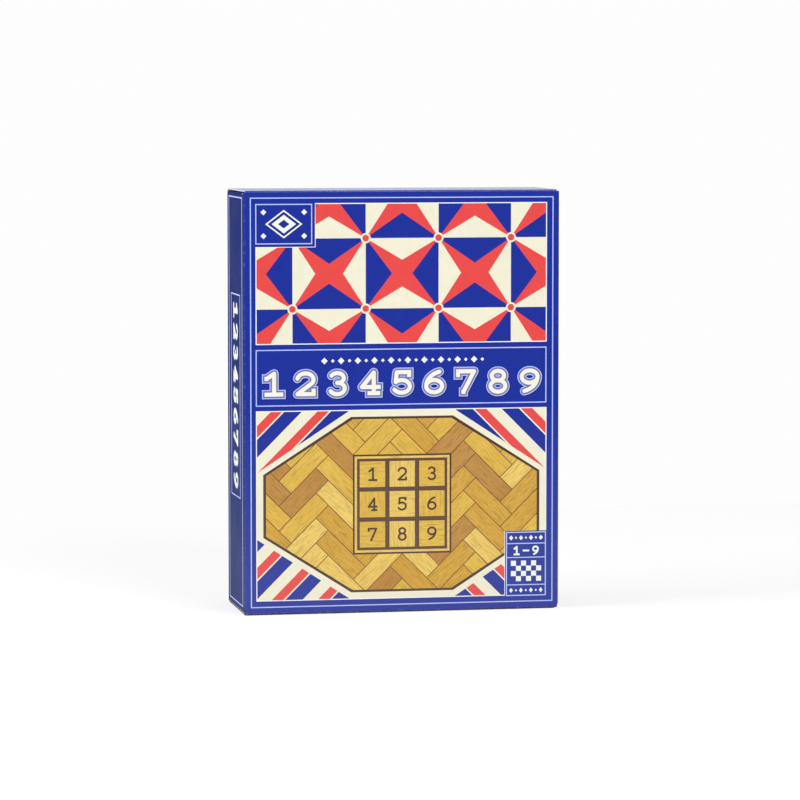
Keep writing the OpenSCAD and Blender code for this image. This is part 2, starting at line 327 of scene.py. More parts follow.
def wood(name, rgb, grain_axis, streak=0.55, lean=0.0):
    """Varnished wood. grain_axis is the direction of the grain; lean turns it about X, in degrees."""
    made = Material(name)
    base = linear(rgb)
    own = made.node("ObjectInfo", {}).outputs["Random"]
    shift = made.node("CombineXYZ", {
        "X": made.math("MULTIPLY", own, 1.7),
        "Y": made.math("MULTIPLY", own, 2.3),
        "Z": made.math("MULTIPLY", own, 1.1),
    }).outputs[0]
    source = made.node("TexCoord", {}).outputs["Object"]
    moved = made.node("VectorMath", {0: source, 1: shift}, operation="ADD").outputs[0]
    turn = (math.radians(lean), 0, 0)
    turned = made.node("Mapping", {"Vector": moved, "Rotation": turn}).outputs[0]
    scale = [0.11 if axis == grain_axis else 1.0 for axis in "XYZ"]
    along = made.node("Mapping", {"Vector": turned, "Scale": scale}).outputs[0]
    rings = made.noise(along, 95.0, 4.0, 0.6, 1.2)
    fine = made.noise(along, 720.0, 4.0, 0.6)
    cloud = made.noise(moved, 28.0, 2.0)
    dark = shade(base, 1 - 0.45 * streak, 1 - 0.62 * streak, 1 - 0.75 * streak)
    light = shade(base, 1.1, add=0.01)
    amber = shade(base, 0.86, 0.74, 0.58)
    colour = made.ramp(rings, [(0.36, dark), (0.47, base), (0.55, base), (0.66, light)])
    colour = made.mix(made.remap(fine, 0.4, 0.58, 0.35, 0), colour, dark)
    colour = made.mix(made.remap(cloud, 0.35, 0.7, 0, 0.45), colour, amber)
    return made.finished({
        "Base Color": made.mix(made.remap(own, 0, 1, 0, 0.35), colour, amber),
        "Roughness": made.remap(fine, 0.3, 0.7, 0.3, 0.46),
        "Normal": made.bump(fine, 0.00006, 0.5),
        "Coat Weight": 0.3,
        "Coat Roughness": 0.3,
    })


def steel():
    made = Material("drawn_steel")
    drawn = made.noise(made.coords(scale=(0.05, 1, 1)), 2600.0, 3.0, 0.6)
    return made.finished({
        "Base Color": made.mix(made.remap(drawn, 0.3, 0.7, 0, 1), (0.45, 0.45, 0.47, 1),
                               (0.66, 0.66, 0.68, 1)),
        "Metallic": 1.0,
        "Roughness": made.remap(drawn, 0.3, 0.7, 0.22, 0.42),
        "Normal": made.bump(drawn, 0.00001, 0.5),
    })


def stamped_black():
    """Black stamped ink of the numbers and pips."""
    made = Material("stamped_black")
    patchy = made.noise(made.coords(), 1400.0, 4.0, 0.6)
    return made.finished({
        "Base Color": made.mix(made.remap(patchy, 0.35, 0.7, 0, 1), (0.012, 0.01, 0.01, 1),
                               (0.05, 0.035, 0.025, 1)),
        "Roughness": made.remap(patchy, 0.3, 0.7, 0.35, 0.6),
    })


def leaflet_paper():
    made = Material("leaflet_paper")
    here = made.coords()
    fibre = made.noise(here, 500.0, 5.0, 0.6)
    return made.finished({
        "Base Color": made.mix(made.remap(fibre, 0.35, 0.65, 0, 1), linear(PAPER_DARK),
                               linear(PAPER_LIGHT)),
        "Roughness": 0.8,
        "Normal": made.bump(made.noise(here, 14.0, 2.0), 0.0012, 0.5),
    })


# ---- plane shapes ----

def sides(points):
    """Each point with the one that follows it round the shape."""
    return zip(points, points[1:] + points[:1])


def area(points):
    """Twice the shape's area, positive where it runs from +x towards +y."""
    return sum(a[0] * b[1] - b[0] * a[1] for a, b in sides(points))


def ccw(points):
    return points if area(points) > 0 else points[::-1]


def cross(a, b, p):
    """Positive where p is inside a ccw() shape's side from a to b."""
    return (b[0] - a[0]) * (p[1] - a[1]) - (b[1] - a[1]) * (p[0] - a[0])


def clip(shape, window):
    """The part of the shape inside the convex window, cut along one of its sides after another."""
    inside = shape
    for a, b in sides(ccw(window)):
        points, inside = inside, []
        for p, q in sides(points):
            from_p, from_q = cross(a, b, p), cross(a, b, q)
            if from_p >= 0:
                inside.append(p)
            if (from_p >= 0) != (from_q >= 0):
                t = from_p / (from_p - from_q)
                inside.append((p[0] + t * (q[0] - p[0]), p[1] + t * (q[1] - p[1])))
    return inside


def box_pts(x0, y0, x1, y1):
    return [(x0, y0), (x1, y0), (x1, y1), (x0, y1)]


def arc(cx, cy, r, a0, a1, steps=14):
    angles = [math.radians(a0 + (a1 - a0) * i / steps) for i in range(steps + 1)]
    return [(cx + r * math.cos(a), cy + r * math.sin(a)) for a in angles]


def ngon(cx, cy, r, count, start=0.0):
    return arc(cx, cy, r, start, start + 360, count)[:-1]


def curve(p0, p1, p2, steps=8):
    return [tuple((1 - t) ** 2 * a + 2 * t * (1 - t) * b + t * t * c
                  for a, b, c in zip(p0, p1, p2)) for t in (i / steps for i in range(steps + 1))]


# ---- numerals ----

SIX = [arc(0.3, 0.3, 0.3, 0, 360, 24), curve((0.0, 0.3), (0.02, 0.82), (0.5, 1.0))]
# Centre lines of the numerals in a box 0.6 wide and 1 high, y up
STROKES = {
    1: [[(0.06, 0.76), (0.34, 1.0), (0.34, 0.0)], [(0.06, 0.0), (0.6, 0.0)]],
    2: [arc(0.3, 0.7, 0.3, 170, -38) + [(0.0, 0.0), (0.6, 0.0)]],
    3: [arc(0.28, 0.755, 0.245, 150, -90), arc(0.28, 0.255, 0.28, 90, -152)],
    4: [[(0.44, 0.0), (0.44, 1.0), (0.0, 0.3), (0.62, 0.3)]],
    5: [[(0.56, 1.0), (0.1, 1.0), (0.06, 0.52)] + arc(0.28, 0.31, 0.31, 118, -150)],
    6: SIX,
    7: [[(0.0, 1.0), (0.6, 1.0), (0.2, 0.0)]],
    8: [arc(0.3, 0.765, 0.235, 0, 360, 22), arc(0.3, 0.265, 0.28, 0, 360, 24)],
    9: [[(0.6 - x, 1.0 - y) for x, y in line] for line in SIX],
}
# Serifs, as short bars through a stroke's end
SERIFS = {
    2: [[(0.6, 0.0), (0.6, 0.16)]],
    4: [[(0.28, 0.0), (0.6, 0.0)]],
    5: [[(0.56, 1.0), (0.56, 0.86)]],
    7: [[(0.0, 1.0), (0.0, 0.82)]],
}
ROUND_LINE = 6                     # a line of this many points or more is a curve


def numeral(n, x, y, height, weight=0.2, wide=1.0, turn=0.0, grow=0.0):
    """Convex pieces of a numeral in mm, with y down, centred on x, y; turn is clockwise."""
    body = height / (1 + weight)
    c, s = math.cos(math.radians(turn)), math.sin(math.radians(turn))
    half = (weight / 2 + grow) * body

    def at(px, py):
        gx, gy = (px - 0.3) * body * wide, -(py - 0.5) * body
        return (x + gx * c - gy * s, y + gx * s + gy * c)

    pieces = []
    for line in STROKES[n] + SERIFS.get(n, []):
        points = [at(*p) for p in line]
        for p, q in zip(points, points[1:]):
            dx, dy = q[0] - p[0], q[1] - p[1]
            length = math.hypot(dx, dy) or 1.0
            nx, ny = -dy / length * half, dx / length * half
            pieces.append([(p[0] + nx, p[1] + ny), (q[0] + nx, q[1] + ny),
                           (q[0] - nx, q[1] - ny), (p[0] - nx, p[1] - ny)])
        for i, p in enumerate(points):
            if len(points) >= ROUND_LINE:
                pieces.append(ngon(*p, half, 10))
            elif i in (0, len(points) - 1):
                pieces.append(ngon(*p, half * math.sqrt(2), 4, turn + 45))
            else:
                pieces.append(ngon(*p, half * 1.05, 8, turn))
    return pieces


# ---- print sheets ----

class Sheet:
    """Polygons of one printed face, in mm, the later ones over the earlier ones.
    angle and seed place the grain of a printed wood tone."""

    def __init__(self, ground):
        self.ground = ground
        self.polys = []

    def add(self, points, colour, angle=0.0, seed=0.0):
        if abs(area(points)) > 1e-6:
            self.polys.append((ccw(points), colour, angle, seed))

    def clipped(self, points, windows, colour, angle=0.0, seed=0.0):
        """The shape's parts in each of the convex windows."""
        for window in windows:
            self.add(clip(points, window), colour, angle, seed)

    def rect(self, x0, y0, x1, y1, colour):
        self.add(box_pts(x0, y0, x1, y1), colour)

    def square(self, x, y, half, colour, angle=0.0, seed=0.0):
        self.add(box_pts(x - half, y - half, x + half, y + half), colour, angle, seed)

    def outline(self, x0, y0, x1, y1, w, colour):
        self.rect(x0, y0, x1, y0 + w, colour)
        self.rect(x0, y1 - w, x1, y1, colour)
        self.rect(x0, y0 + w, x0 + w, y1 - w, colour)
        self.rect(x1 - w, y0 + w, x1, y1 - w, colour)

    def diamond(self, x, y, w, h, colour):
        self.add([(x - w, y), (x, y - h), (x + w, y), (x, y + h)], colour)

    def lozenges(self, x0, x1, y, w, h, pitch, colour):
        """A row of lozenges, large and small by turns."""
        count = int((x1 - x0) / pitch)
        start = (x0 + x1) / 2 - (count - 1) * pitch / 2
        for i in range(count):
            big = 1.0 if i % 2 == 0 else 0.55
            self.diamond(start + i * pitch, y, w * big, h * big, colour)

    def number(self, n, x, y, height, colour, weight=0.2, wide=1.0, turn=0.0, rings=()):
        """A numeral over its rings: each is a colour, how much it grows, and its offset."""
        for ring, grow, shift in (*rings, (colour, 0.0, 0.0)):
            for part in numeral(n, x + shift, y + shift, height, weight, wide, turn, grow):
                self.add(part, ring)


# ---- the printed design ----

LINE_W = 0.55
SIDE_LINE_W, SIDE_LINE_H = 1.2, 0.65   # a side's upright lines and its level ones
BADGE_LINE_W = 0.5
PAGE_FRAME = (3.2, 3.4, 159.9, 211.3)
BAND_X0, BAND_X1 = 5.97, 156.4
ART_X0, ART_X1 = 6.0, 156.5
ART_RIM, NEAR_RIM = 0.5, 0.3       # white rim of a picture, and beside the block or the badge
PLANK_LEN, PLANK_W, PLANK_GAP = 27.0, 9.0, 0.22
PLANK_TONES = ["parquet_%d" % tone for tone in (0, 0, 1, 1, 2, 3)]
TITLE_X = 81.2
TITLE_RINGS = [("navy_print_and_fold_shade", 0.12, 0.4), ("line", 0.12, 0.0), ("letter_edge", 0.075, 0.0)]
SIDE_RINGS = [("letter_edge", 0.035, 0.0)]
WHEEL_PIN = 3.0                    # a pin shows where this much room is round a pinwheel's middle


def title_numbers(sheet, y, height, wide, pitch):
    for n in range(1, 10):
        sheet.number(n, TITLE_X + (n - 5) * pitch, y, height, "title", 0.2, wide,
                     rings=TITLE_RINGS)


def pinwheel(sheet, cx, cy, half_w, half_h, hand, windows):
    """Four blue blades with a coral facet beside each; hand 1 or -1 sets which way they turn."""
    for turn in range(0, 360, 90):
        c, s = math.cos(math.radians(turn)), math.sin(math.radians(turn))

        def at(u, v):
            return (cx + (u * c - v * hand * s) * half_w, cy + (u * s + v * hand * c) * half_h)

        sheet.clipped([at(0.0, 0.0), at(1.0, 0.0), at(1.0, 0.72)], windows, "blue")
        sheet.clipped([at(0.0, 0.0), at(1.0, 0.72), at(1.0, 1.0), at(0.62, 1.0)],
                      windows, "coral")
    for (x0, y0), _, (x1, y1), _ in windows:
        if x0 < cx - WHEEL_PIN and cx + WHEEL_PIN < x1 and y0 < cy - WHEEL_PIN \
                and cy + WHEEL_PIN < y1:
            sheet.add(ngon(cx, cy, 2.6, 20), "cream")
            sheet.add(ngon(cx, cy, 1.7, 20), "coral")


def pinwheels(sheet, x0, y0, x1, y1, windows, cols=4, rows=2):
    cell_w, cell_h = (x1 - x0) / cols, (y1 - y0) / rows
    for i in range(cols):
        for j in range(rows):
            hand = 1 if (i + j) % 2 == 0 else -1
            pinwheel(sheet, x0 + (i + 0.5) * cell_w, y0 + (j + 0.5) * cell_h, cell_w / 2,
                     cell_h / 2, hand, windows)


def octagon(cx, cy, hw, hh, cut_x, cut_y):
    return [(cx - hw + cut_x, cy - hh), (cx + hw - cut_x, cy - hh), (cx + hw, cy - hh + cut_y),
            (cx + hw, cy + hh - cut_y), (cx + hw - cut_x, cy + hh), (cx - hw + cut_x, cy + hh),
            (cx - hw, cy + hh - cut_y), (cx - hw, cy - hh + cut_y)]


def herringbone(sheet, shape, windows, rng):
    """Planks at 45 degrees, in pairs that lie across each other, inside a convex shape."""
    xs, ys = [p[0] for p in shape], [p[1] for p in shape]
    cx, cy = (min(xs) + max(xs)) / 2, (min(ys) + max(ys)) / 2
    ratio = int(PLANK_LEN / PLANK_W)
    reach = int(max(max(xs) - min(xs), max(ys) - min(ys)) / PLANK_W) + 2 * ratio
    c = math.sqrt(0.5)
    for d in range(-reach, reach):
        for k in range(-reach // ratio - 1, reach // ratio + 2):
            u, v = (d + k * ratio) * PLANK_W, (d - k * ratio) * PLANK_W
            for angle, (u0, v0, u1, v1) in (
                    (45.0, (u, v, u + PLANK_LEN, v + PLANK_W)),
                    (135.0, (u, v + PLANK_W, u + PLANK_W, v + PLANK_W + PLANK_LEN))):
                plank = box_pts(u0 + PLANK_GAP, v0 + PLANK_GAP, u1 - PLANK_GAP, v1 - PLANK_GAP)
                piece = clip([(cx + (a - b) * c, cy + (a + b) * c) for a, b in plank], shape)
                if len(piece) > 2:
                    tone = rng.choice(PLANK_TONES)
                    sheet.clipped(piece, windows, tone, angle, rng.uniform(0, 400))


def parquet(sheet, cx, cy, half_w, half_h, cut_x, cut_y, windows, rng):
    """An octagon of planks with a dark rim; its corners are cut by cut_x and cut_y."""
    rim = octagon(cx, cy, half_w, half_h, cut_x, cut_y)
    sheet.clipped(rim, windows, "inlay")
    inner = octagon(cx, cy, half_w - 1.4, half_h - 1.2, cut_x - 0.6, cut_y - 0.6)
    sheet.clipped(inner, windows, "joint")
    herringbone(sheet, inner, windows, rng)


def stripes(sheet, x0, y0, x1, y1, windows):
    """Blue and coral stripes that slant away from the middle to both sides."""
    cx, cy = (x0 + x1) / 2, (y0 + y1) / 2
    pitch, start, reach = 24.0, 3.6, 70.0
    halves = [(-1, box_pts(x0, y0, cx, y1)), (1, box_pts(cx, y0, x1, y1))]
    for i in range(-2, 5):
        for ahead, w, tone in ((0.0, 9.0, "blue"), (10.0, 6.0, "coral")):
            off = i * pitch + start + ahead
            for side, half in halves:
                band = [(cx + side * (off - reach), cy - reach),
                        (cx + side * (off - reach + w), cy - reach),
                        (cx + side * (off + reach + w), cy + reach),
                        (cx + side * (off + reach), cy + reach)]
                sheet.clipped(clip(band, half), windows, tone)


def upper_picture(sheet):
    """Pinwheels, round the corner block."""
    y0, y1 = 6.3, 77.7
    block_x, block_y = 36.4, 28.3
    for k, tone in ((0.0, "white"), (ART_RIM, "cream")):
        sheet.rect(block_x + k, y0 + k, ART_X1 - k, y1 - k, tone)
        sheet.rect(ART_X0 + k, block_y + k, block_x + k, y1 - k, tone)
    windows = [box_pts(block_x + NEAR_RIM, y0 + ART_RIM, ART_X1 - ART_RIM, y1 - ART_RIM),
               box_pts(ART_X0 + ART_RIM, block_y + NEAR_RIM, block_x + NEAR_RIM, y1 - ART_RIM)]
    pinwheels(sheet, ART_X0, y0, ART_X1, y1, windows)


def corner_block(sheet):
    """A pale frame round a plain lozenge ornament."""
    sheet.outline(5.95, 6.6, 35.0, 27.0, LINE_W, "line")
    x, y = 20.5, 16.8
    for w, h, tone in ((9.5, 7.2, "letter"), (8.3, 6.3, "blue"), (6.2, 4.7, "letter"),
                       (2.9, 2.2, "blue")):
        sheet.diamond(x, y, w, h, tone)
    for dx in (-10.4, 10.4):
        for dy in (-6.0, 6.0):
            sheet.diamond(x + dx, y + dy, 1.5, 1.5, "letter")


def number_band(sheet):
    sheet.outline(BAND_X0, 80.2, BAND_X1, 108.9, LINE_W, "line")
    sheet.lozenges(37.0, 127.0, y=86.2, w=1.7, h=1.7, pitch=4.3, colour="letter")
    title_numbers(sheet, y=97.6, height=12.6, wide=1.32, pitch=16.6)


def lower_picture(sheet):
    """Parquet with nine numbered squares on cream, over striped corners, round the badge."""
    rng = random.Random(7)
    y0, y1 = 111.2, 208.0
    badge_x, badge_y = 134.9, 174.7
    for k, tone in ((0.0, "white"), (ART_RIM, "cream")):
        sheet.rect(ART_X0 + k, y0 + k, ART_X1 - k, badge_y - k, tone)
        sheet.rect(ART_X0 + k, badge_y - k, badge_x - k, y1 - k, tone)
    windows = [box_pts(ART_X0 + ART_RIM, y0 + ART_RIM, ART_X1 - ART_RIM, badge_y),
               box_pts(ART_X0 + ART_RIM, badge_y, badge_x - NEAR_RIM, y1 - ART_RIM)]
    stripes(sheet, ART_X0, y0, ART_X1, y1, windows)
    cx, cy = (ART_X0 + ART_X1) / 2, (y0 + y1) / 2
    sheet.clipped(octagon(cx, cy, 75.3, 48.6, 49.0, 32.0), windows, "cream")
    parquet(sheet, cx, cy, 71.6, 44.8, 45.2, 28.8, windows, rng)
    for half, tone in ((25.5, "inlay"), (24.6, "parquet_3"), (23.4, "square_dark")):
        sheet.square(cx, cy, half, tone)
    pitch, rim, face = 15.4, 6.9, 6.6
    for i in range(3):
        for j in range(3):
            x, y = cx + (i - 1) * pitch, cy + (j - 1) * pitch
            sheet.square(x, y, rim, "inlay")
            sheet.square(x, y, face, "parquet_3" if i == 1 else "parquet_0",
                         angle=90.0 * ((i + j) % 2), seed=rng.uniform(0, 300))
            sheet.number(3 * j + i + 1, x, y, 7.0, "inlay", 0.17, 1.1)


def badge(sheet):
    """Four blue bars with lozenges, "1-9" and a chequer, in the lower right corner."""
    x0, x1 = 135.4, 156.4
    for y0, y1 in ((175.2, 181.0), (181.4, 188.1), (188.6, 202.2), (202.7, 208.0)):
        sheet.rect(x0, y0, x1, y1, "blue")
    sheet.outline(x0, 175.2, x1, 208.3, LINE_W, "line")
    for y in (181.0, 188.2, 202.3):
        sheet.rect(x0, y, x1, y + BADGE_LINE_W, "line")
    sheet.lozenges(x0 + 1, x1 - 1, y=178.3, w=1.1, h=1.3, pitch=2.6, colour="letter")
    sheet.number(1, 140.9, 184.9, 4.8, "letter", 0.24, 1.1)
    sheet.rect(144.2, 184.5, 147.6, 185.4, "letter")
    sheet.number(9, 150.9, 184.9, 4.8, "letter", 0.24, 1.1)
    left, top, cell = 138.0, 190.1, 2.65
    for i in range(6):
        for j in range(i % 2, 4, 2):
            sheet.rect(left + i * cell, top + j * cell, left + (i + 1) * cell,
                       top + (j + 1) * cell, "letter")
    sheet.lozenges(x0 + 1, x1 - 1, y=205.4, w=1.0, h=1.3, pitch=2.6, colour="letter")


def front_print():
    """The front of the carton: x from its left edge, y down from its top, in mm."""
    s = Sheet("blue")
    # Painted shade: a dark strip down each fold of the front
    for x in (0.0, CARTON_W - FOLD_EDGE):
        s.rect(x, FRONT_TOP, x + FOLD_EDGE, CARTON_H, "navy_print_and_fold_shade")
    # Painted contact shadow: a dark strip along the front's foot
    s.rect(0.0, CARTON_H - FOOT_EDGE, CARTON_W, CARTON_H, "foot")
    s.outline(*PAGE_FRAME, LINE_W, "line")
    for part in (upper_picture, corner_block, number_band, lower_picture, badge):
        part(s)
    return s


def back_print():
    """The back: the same frame, a numbered band, a panel of parquet and one of pinwheels."""
    s = Sheet("blue")
    s.outline(*PAGE_FRAME, LINE_W, "line")
    s.outline(BAND_X0, 6.6, BAND_X1, 33.0, LINE_W, "line")
    title_numbers(s, y=20.0, height=12.0, wide=1.2, pitch=16.0)
    s.rect(ART_X0, 36.0, ART_X1, 128.0, "cream")
    window = box_pts(ART_X0 + ART_RIM, 36.5, ART_X1 - ART_RIM, 127.5)
    parquet(s, TITLE_X, 82.0, 68.0, 41.0, 40.0, 24.0, [window], random.Random(11))
    s.rect(ART_X0, 131.0, ART_X1, 208.0, "cream")
    window = box_pts(ART_X0 + ART_RIM, 131.5, ART_X1 - ART_RIM, 207.5)
    pinwheels(s, ART_X0, 131.0, ART_X1, 208.0, [window])
    return s


def side_print(width):
    """A side: x from its left edge as seen, y down from the carton's top."""
    s = Sheet("side_blue")
    middle = width / 2
    for inset, y0, y1 in ((4.6, 3.4, 211.4), (middle - 15.5, 53.0, 157.0)):
        s.outline(inset, y0, width - inset, y1, SIDE_LINE_H, "line")
        for x in (inset, width - inset - SIDE_LINE_W):
            s.rect(x, y0, x + SIDE_LINE_W, y1, "line")
    for n in range(1, 10):
        s.number(n, middle, 105.0 + (n - 5) * 10.9, 15.0, "letter", 0.2, 0.75, 90.0, SIDE_RINGS)
    return s


def lid_print(w, d):
    """A closure: a line frame with a row of lozenges."""
    s = Sheet("lid_blue")
    s.outline(3.2, 3.2, w - 3.2, d - 3.2, LINE_W, "line")
    s.lozenges(20.0, w - 20.0, y=d / 2, w=2.4, h=2.4, pitch=7.0, colour="line")
    return s


# ---- building pieces ----

def cover(polys, lines=()):
    """The triangles that cover the polygons once, each with the polygons that it lies in."""
    verts, faces, edges = [], [], []
    for points in polys:
        faces.append(list(range(len(verts), len(verts) + len(points))))
        verts += [Vector(p) for p in points]
    for line in lines:
        edges.append((len(verts), len(verts) + 1))
        verts += [Vector(p) for p in line]
    points, _, tris, _, _, owners = delaunay_2d_cdt(verts, edges, faces, 1, 1e-5, True)
    return points, [(tri, ids) for tri, ids in zip(tris, owners) if ids]


def kept(points, tris):
    """The points in use, and the triangles on them, all turned the same way."""
    used = sorted({i for tri in tris for i in tri})
    index = {old: new for new, old in enumerate(used)}
    flat = [points[i] for i in used]
    tris = [tuple(index[i] for i in tri) for tri in tris]
    return flat, [tri if cross(*(flat[i] for i in tri)) > 0 else tri[::-1] for tri in tris]


def slab(tris, outer, inner):
    """Front, back and edge faces of a thin plate, all facing out of it.
    Its points are the outer ones, followed by the inner ones."""
    count = len(outer)
    directed = {(tri[i], tri[(i + 1) % 3]) for tri in tris for i in range(3)}
    back = [tuple(i + count for i in tri[::-1]) for tri in tris]
    rim = [(b, a, a + count, b + count) for a, b in directed if (b, a) not in directed]
    a, b, c = (Vector(outer[i]) for i in tris[0])
    if (b - a).cross(c - a).dot(a - Vector(inner[tris[0][0]])) < 0:
        return [[face[::-1] for face in faces] for faces in (tris, back, rim)]
    return tris, back, rim


def mesh_in_mm(name, points, faces):
    mesh = bpy.data.meshes.new(name)
    mesh.from_pydata([tuple(c * MM for c in p) for p in points], [], faces)
    return mesh


def add_object(name, data):
    obj = bpy.data.objects.new(name, data)
    bpy.context.scene.collection.objects.link(obj)
    return obj


def smooth(mesh):
    """Smooth shading, with the cut edges kept sharp."""
    for poly in mesh.polygons:
        poly.use_smooth = True
    mesh.set_sharp_from_angle(angle=math.radians(35))


def unworn(x, y):
    return 0.0


def panel(cad_node, outline, sheet, place, body="carton", columns=(),
          rows=(), wear_and_highlight=unworn, edge="cut_edge", low_edge=None):
    """The board that stands for a CAD node: printed outside, bare inside, with its cut edge.
    place(x, y, depth) gives a point of the carton in mm; depth 0 is the printed face.
    columns and rows are where the board gets an edge to bend at, or to start its wear and painted
    highlights from."""
    polys = [(ccw(outline), sheet.ground, 0.0, 0.0), *sheet.polys]
    xs, ys = [p[0] for p in outline], [p[1] for p in outline]
    lines = [((x, min(ys)), (x, max(ys))) for x in columns]
    lines += [((min(xs), y), (max(xs), y)) for y in rows]
    points, covered = cover([poly[0] for poly in polys], lines)
    covered = [(tri, max(ids)) for tri, ids in covered if 0 in ids]
    flat, tris = kept(points, [tri for tri, _ in covered])
    outer, inner = ([crushed(place(x, y, depth)) for x, y in flat] for depth in (0.0, SHEET_T))
    front, back, rim = slab(tris, outer, inner)
    looks = [polys[top][1:] for _, top in covered]
    looks += [("bare_board", 0.0, 0.0)] * len(back)
    for quad in rim:
        low = low_edge and flat[quad[1] % len(flat)][1] > CARTON_H / 2
        looks.append((low_edge if low else edge, 0.0, 0.0))
    name = cad_node + "_board"
    mesh = mesh_in_mm(name, outer + inner, [*front, *back, *rim])
    keys = list(dict.fromkeys(look[0] for look in looks))
    for key in keys:
        mesh.materials.append(finish(key))
    uv = mesh.uv_layers.new(name="print_uv")
    for face, (key, angle, seed) in zip(mesh.polygons, looks):
        face.material_index = keys.index(key)
        c, s = math.cos(math.radians(angle)), math.sin(math.radians(angle))
        for loop in face.loop_indices:
            x, y = flat[mesh.loops[loop].vertex_index % len(flat)]
            uv.data[loop].uv = (x * c + y * s + seed, -x * s + y * c + seed * 0.37)
    worn_and_lit = mesh.attributes.new("wear_and_highlight", "FLOAT", "POINT")
    worn_and_lit.data.foreach_set("value", [wear_and_highlight(x, y) for x, y in flat] * 2)
    smooth(mesh)
    mesh.update()
    obj = add_object(name, mesh)
    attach(obj, body)
    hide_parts(cad_node)


# ---- the sleeve ----

PILLOW_W, PILLOW_DROP = 5.0, 0.22     # the faces ease back towards the upright folds
CRUSH_AT = Vector((HALF_W, -HALF_D, 0.0))
CRUSH_REACH, CRUSH_PUSH = 3.4, Vector((-1.1, 0.5, 0.8))
# how pale the line above the front's foot is painted, a painted highlight, beside the real fold wear
FOLD_WEAR, FOOT_HIGHLIGHT_AMOUNT = 0.3, 0.5
ARC_STEPS, PILLOW_STEPS = 6, 6
FOOT_ROWS = (FOOT_EDGE, FOOT_HIGHLIGHT_TOP, 1.7, 2.4, 3.1)   # heights of the front's lowest edges


def crushed(p):
    """The knocked lower right corner of the front."""
    near = 1.0 - (Vector(p) - CRUSH_AT).length / CRUSH_REACH
    if near <= 0.0:
        return p
    return tuple(Vector(p) + CRUSH_PUSH * near * near)


def pillow(x):
    near = 1.0 - (min(x, CARTON_W - x) - FOLD_R) / PILLOW_W
    return PILLOW_DROP * max(0.0, min(1.0, near)) ** 2


def wrapped(front):
    """Place function of the front, which wraps round the folds on both sides, or of the back,
    which wraps round the one on its right.
    x is from the panel's left edge as seen from outside, y down from the carton's top."""
    sign = -1 if front else 1
    drop = PILLOW_DROP if front else 0.0
    flat = HALF_W - FOLD_R

    def place(x, y, depth):
        u = x - HALF_W
        past = u - flat if u > flat else u + flat if u < -flat else 0.0
        if past > 0 or (past < 0 and front):
            a = past / FOLD_R * math.pi / 2
            r = FOLD_R - depth
            px = math.copysign(flat, u) + r * math.sin(a)
            py = HALF_D - FOLD_R + r * math.cos(a) - drop * math.cos(a)
        else:
            px, py = u, HALF_D - depth - (pillow(x) if front else 0.0)
        return (px if front else -px, sign * py, CARTON_H - y)

    return place


def on_left(x, y, depth):
    return (-HALF_W + depth, HALF_D - FOLD_R - x, CARTON_H - y)


def on_right(x, y, depth):
    return (HALF_W - depth, -HALF_D + FOLD_R + x, CARTON_H - y)


def on_glue_flap(x, y, depth):
    return (HALF_W - BOARD_T - depth, HALF_D - BOARD_T - x, CARTON_H - y)


def fold_wear_and_foot_highlight(x, y):
    """Worn along the middle of each fold; the line above the foot is paled as a painted highlight."""
    near = min(x, CARTON_W - x)
    foot = FOOT_HIGHLIGHT_AMOUNT if FOOT_EDGE - 0.01 < CARTON_H - y < FOOT_HIGHLIGHT_TOP - 0.01 else 0.0
    return max(0.0, 1.0 - abs(near - FOLD_R * 0.5) / (FOLD_R * 0.5)) * FOLD_WEAR + foot


def right_wear_and_foot_highlight(x, y):
    return fold_wear_and_foot_highlight(x, y) if x > HALF_W else 0.0


fold_columns = [i / ARC_STEPS * FOLD_R for i in range(1, ARC_STEPS + 2)]
fold_columns += [FOLD_R + PILLOW_W * i / PILLOW_STEPS for i in range(1, PILLOW_STEPS + 1)]
fold_columns += [CARTON_W - c for c in fold_columns]

# The front's lower cut edges are painted dark as painted shade
panel("front_panel", box_pts(0, FRONT_TOP, CARTON_W, CARTON_H), front_print(), wrapped(True),
      columns=fold_columns, rows=[CARTON_H - up for up in FOOT_ROWS], wear_and_highlight=fold_wear_and_foot_highlight,
      low_edge="painted_shade_edge")
# Seen from the back, the fold is on the right and the glued corner's raw edge on the left.
# The back stops short of that corner and of both ends by the board's thickness.
panel("back_panel", box_pts(BOARD_T, BOARD_T, CARTON_W, CARTON_H - BOARD_T), back_print(),
      wrapped(False), columns=[c for c in fold_columns if c > HALF_W], wear_and_highlight=right_wear_and_foot_highlight)
panel("left_panel", box_pts(0, SIDE_END, LEFT_W, CARTON_H - SIDE_END), side_print(LEFT_W), on_left)
# The right side is printed like the left one, and its raw edge is inked over.
panel("right_panel", box_pts(0, SIDE_END, RIGHT_W, CARTON_H - SIDE_END), side_print(LEFT_W),
      on_right, edge="side_blue")
panel("glue_flap", [(0, SIDE_END), (GLUE_FLAP_W, SIDE_END + GLUE_FLAP_TAPER),
                    (GLUE_FLAP_W, CARTON_H - SIDE_END - GLUE_FLAP_TAPER),
                    (0, CARTON_H - SIDE_END)],
      Sheet("bare_board"), on_glue_flap)

# ---- the two ends ----

FOLD_STEPS = 8
QUARTER = BOARD_T * math.pi / 2    # length of a quarter turn's outer face
LEAN = math.radians(TUCK_LEAN)
TUCK_ARC = BOARD_T * math.radians(90 + TUCK_LEAN)
TUCK_CENTRE_Y = TUCK_HINGE_Y + BOARD_T * math.tan(LEAN)
CLOSURE_LEN = HALF_D - TUCK_CENTRE_Y - BOARD_T + QUARTER
# The closures' and tucks' folds are paled: partly real wear and partly a painted highlight
LID_WEAR_AND_HIGHLIGHT, DUST_WEAR = 0.4, 0.35
DUST_WORN = (0.3, 0.9)             # from where to where round its fold a dust flap is worn


def end_z(z, top):
    return z if top else CARTON_H - z


